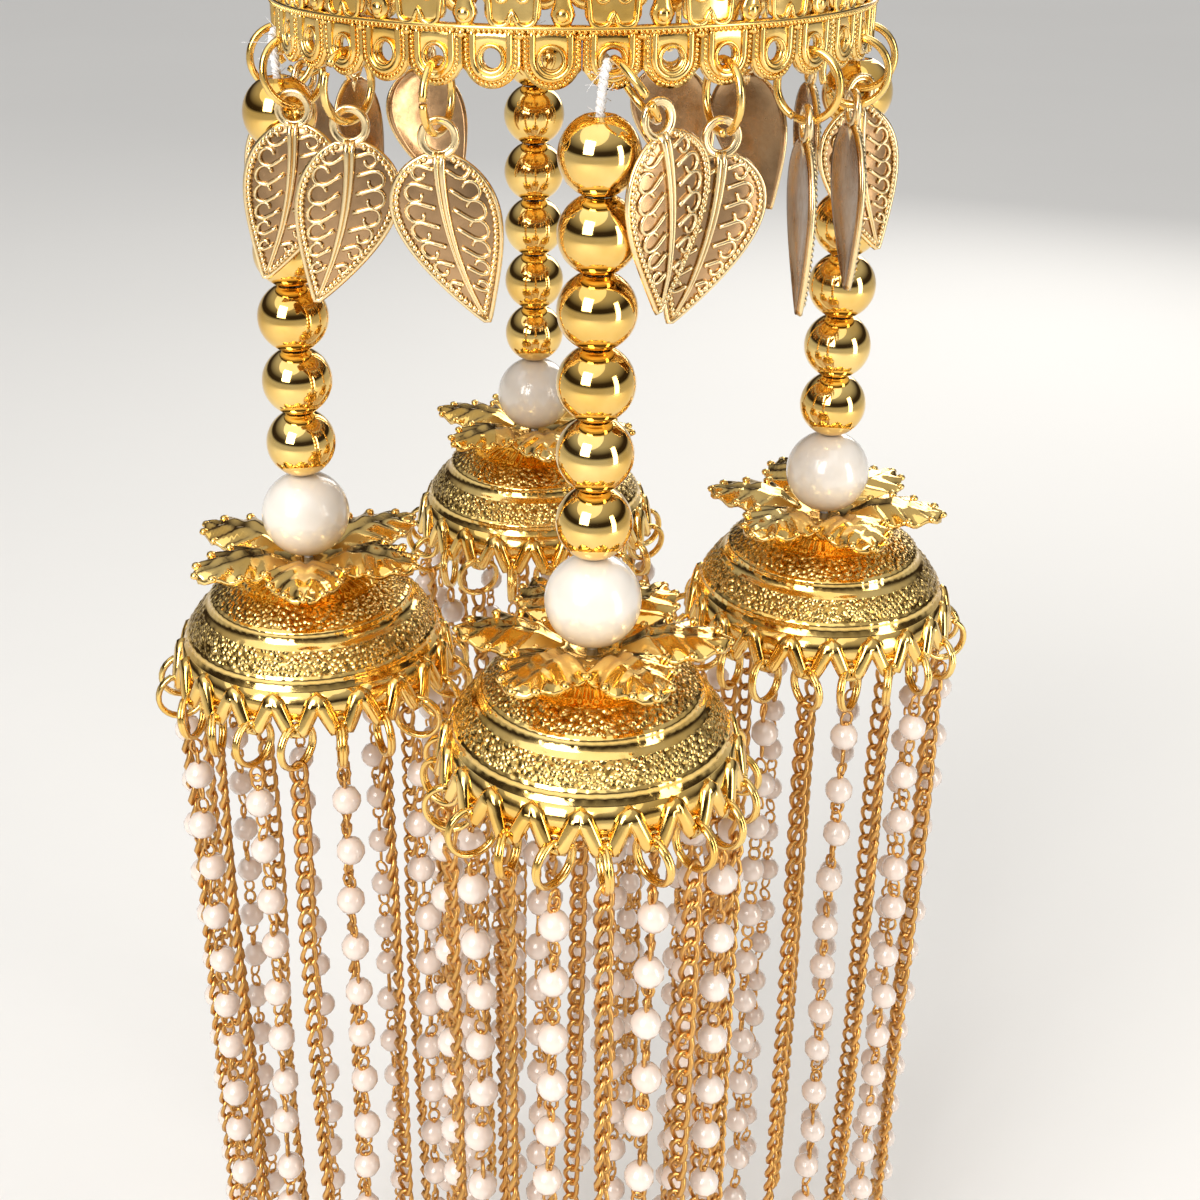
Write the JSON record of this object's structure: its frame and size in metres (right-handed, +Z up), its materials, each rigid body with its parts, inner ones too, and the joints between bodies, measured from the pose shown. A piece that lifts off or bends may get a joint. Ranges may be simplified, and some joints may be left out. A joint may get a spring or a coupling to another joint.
{
  "type": "bridal bangle ornament",
  "caption": "Pierced gold crown on a loop, hung with leaf pendants and bead strings that end in a flower, a bell cap and a tassel of chains and pearls.",
  "frame": {"origin": "centre of the hanging loop on top of the crown", "axes": "+Z up along the crown's axis; -Y towards the side that faces the camera; +X to the viewer's right"},
  "size_m": [0.1008, 0.1016, 0.216],
  "materials": {
    "crown_gold": "polished",
    "leaf_gold": "polished",
    "ring_gold": "polished",
    "bead_gold": "mirror polished",
    "cap_gold": "polished",
    "chain_gold": "satin",
    "pearl_white": "pearl lacquer",
    "small_pearl": "pearl lacquer",
    "thread_white": "matt cotton"
  },
  "bodies": {
    "root": {"crown": "crown_gold", "leaves": "leaf_gold", "leaf_rings": "ring_gold", "thread_left": "thread_white", "thread_front": "thread_white", "thread_right": "thread_white", "thread_back": "thread_white", "bead_left_1": "bead_gold", "bead_left_2": "bead_gold", "bead_left_3": "bead_gold", "bead_left_4": "bead_gold", "bead_left_5": "bead_gold", "bead_left_6": "bead_gold", "bead_front_1": "bead_gold", "bead_front_2": "bead_gold", "bead_front_3": "bead_gold", "bead_front_4": "bead_gold", "bead_front_5": "bead_gold", "bead_front_6": "bead_gold", "bead_right_1": "bead_gold", "bead_right_2": "bead_gold", "bead_right_3": "bead_gold", "bead_right_4": "bead_gold", "bead_right_5": "bead_gold", "bead_right_6": "bead_gold", "bead_back_1": "bead_gold", "bead_back_2": "bead_gold", "bead_back_3": "bead_gold", "bead_back_4": "bead_gold", "bead_back_5": "bead_gold", "bead_back_6": "bead_gold", "pearl_left": "pearl_white", "pearl_front": "pearl_white", "pearl_right": "pearl_white", "pearl_back": "pearl_white", "flower_left": "cap_gold", "flower_front": "cap_gold", "flower_right": "cap_gold", "flower_back": "cap_gold", "cap_left": "cap_gold", "cap_front": "cap_gold", "cap_right": "cap_gold", "cap_back": "cap_gold", "cap_rings_left": "ring_gold", "cap_rings_front": "ring_gold", "cap_rings_right": "ring_gold", "cap_rings_back": "ring_gold", "curb_chains_left": "chain_gold", "curb_chains_front": "chain_gold", "curb_chains_right": "chain_gold", "curb_chains_back": "chain_gold", "pearl_strands_left": "small_pearl", "pearl_strands_front": "small_pearl", "pearl_strands_right": "small_pearl", "pearl_strands_back": "small_pearl"}
  },
  "joints": []
}
